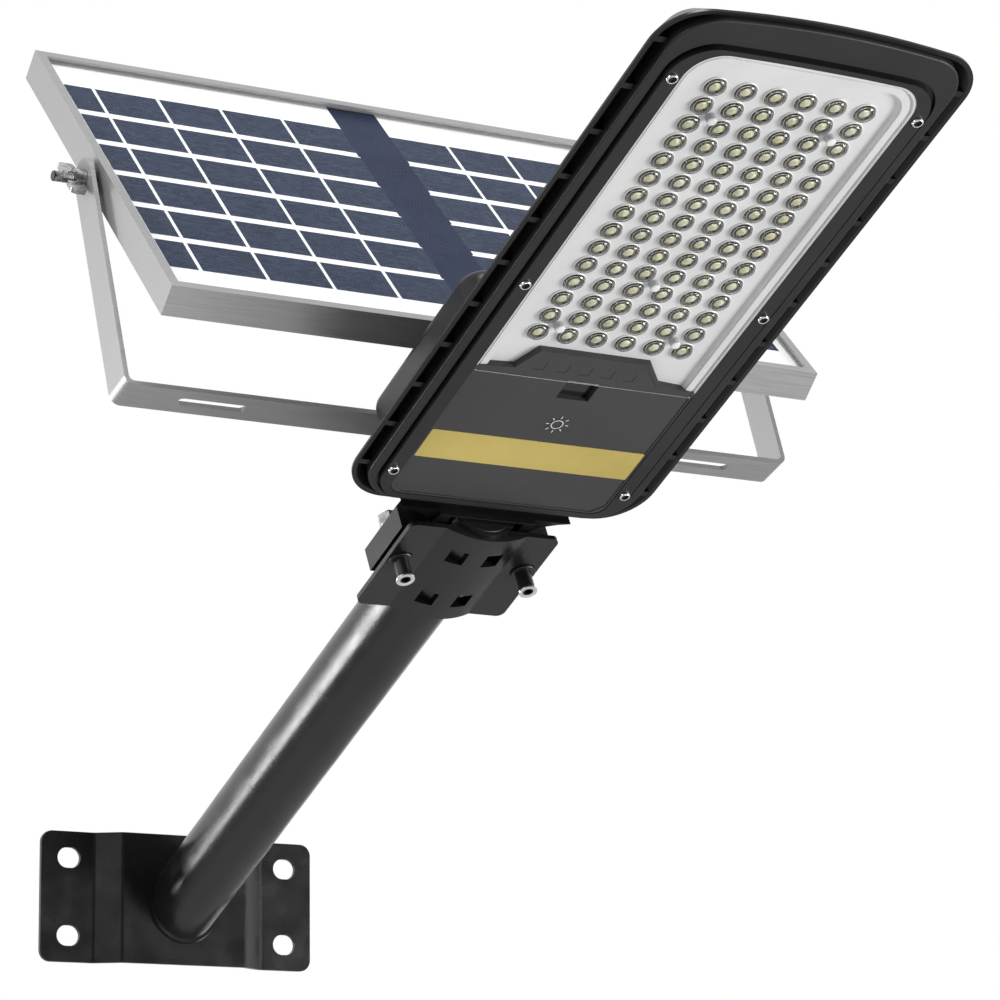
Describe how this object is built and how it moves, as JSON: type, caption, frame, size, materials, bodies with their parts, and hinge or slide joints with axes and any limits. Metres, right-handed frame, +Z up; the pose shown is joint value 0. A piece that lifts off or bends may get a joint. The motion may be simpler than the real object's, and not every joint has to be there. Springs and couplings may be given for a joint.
{
  "type": "solar street lamp",
  "caption": "Wall-mounted solar street lamp: LED head clamped on a slanted steel arm with a hat-section wall plate, and a tilting solar panel in a U bracket.",
  "frame": {"origin": "centre of the wall plate's four-slot pattern, on the wall", "axes": "+Y into the wall, +Z up, +X to the right seen from in front; the lamp reaches along -Y"},
  "size_m": [0.506, 0.8166, 0.5475],
  "materials": {
    "black_paint": "satin powder coat",
    "black_plastic": "fine grain",
    "gland_plastic": "moulded",
    "face_plastic": "fine grain",
    "bright_steel": "zinc plated",
    "bolt_steel": "black oxide",
    "lens": "clear moulded lens",
    "board_white": "white coating",
    "aluminium": "anodised",
    "label_grey": "satin",
    "gold_film": "printed film",
    "dark_window": "tinted",
    "light_bar": "diffusing",
    "cell_wrap": "shrink film",
    "circuit_board": "solder mask",
    "solar_glass": "clear tempered",
    "solar_cells": "polycrystalline"
  },
  "bodies": {
    "wall_arm": {"wall_plate": "black_paint", "arm_tube": "black_paint", "weld_bead": "black_paint", "tube_end_plug": "black_plastic"},
    "lamp_head": {"neck_saddle": "black_plastic", "lower_saddle": "black_paint", "clamp_bolt_left": "bolt_steel", "clamp_bolt_right": "bolt_steel", "clamp_washer_left": "bolt_steel", "clamp_washer_right": "bolt_steel", "spring_washer_left": "bright_steel", "spring_washer_right": "bright_steel", "clamp_nut_left": "bright_steel", "clamp_nut_right": "bright_steel", "head_shell": "black_plastic", "battery_cover": "black_plastic", "face_frame": "face_plastic", "window_ring": "face_plastic", "ring_screw_1": "bright_steel", "ring_screw_2": "bright_steel", "ring_screw_3": "bright_steel", "ring_screw_4": "bright_steel", "ring_screw_5": "bright_steel", "ring_screw_6": "bright_steel", "lens_plate": "lens", "led_board": "board_white", "heat_plate": "aluminium", "label_plate": "label_grey", "stripe_film": "gold_film", "sensor_window": "dark_window", "indicator_bar": "light_bar", "board_post_1": "board_white", "board_post_2": "board_white", "board_post_3": "board_white", "board_post_4": "board_white", "board_post_5": "board_white", "battery_tray": "black_plastic", "battery_cell_1": "cell_wrap", "battery_cell_2": "cell_wrap", "battery_cell_3": "cell_wrap", "battery_cell_4": "cell_wrap", "control_board": "circuit_board", "cable_gland": "gland_plastic", "bracket_riser": "black_paint", "panel_bracket": "aluminium", "bracket_screw_left": "bright_steel", "bracket_screw_right": "bright_steel"},
    "solar_panel": {"frame_left": "aluminium", "frame_right": "aluminium", "frame_bottom": "aluminium", "frame_top": "aluminium", "panel_glass": "solar_glass", "cell_sheet": "solar_cells", "junction_box": "black_plastic", "junction_gland": "gland_plastic", "pivot_bolt_left": "bolt_steel", "pivot_bolt_right": "bolt_steel"},
    "left_wing_nut": {"wing_nut_left": "bright_steel"},
    "right_wing_nut": {"wing_nut_right": "bright_steel"}
  },
  "joints": [
    {"name": "head_roll", "type": "hinge", "parent": "wall_arm", "child": "lamp_head", "pos_m": [0, -0.3875, 0.18192], "axis": [0, 0.8988, -0.4384], "range_deg": [-30, 30]},
    {"name": "panel_tilt", "type": "hinge", "parent": "lamp_head", "child": "solar_panel", "pos_m": [0, -0.35242, 0.3915], "axis": [1, 0, 0], "range_deg": [-44, 40]},
    {"name": "left_nut_turn", "type": "hinge", "parent": "solar_panel", "child": "left_wing_nut", "pos_m": [-0.239, -0.35242, 0.3915], "axis": [1, 0, 0], "continuous": true},
    {"name": "right_nut_turn", "type": "hinge", "parent": "solar_panel", "child": "right_wing_nut", "pos_m": [0.239, -0.35242, 0.3915], "axis": [1, 0, 0], "continuous": true}
  ]
}
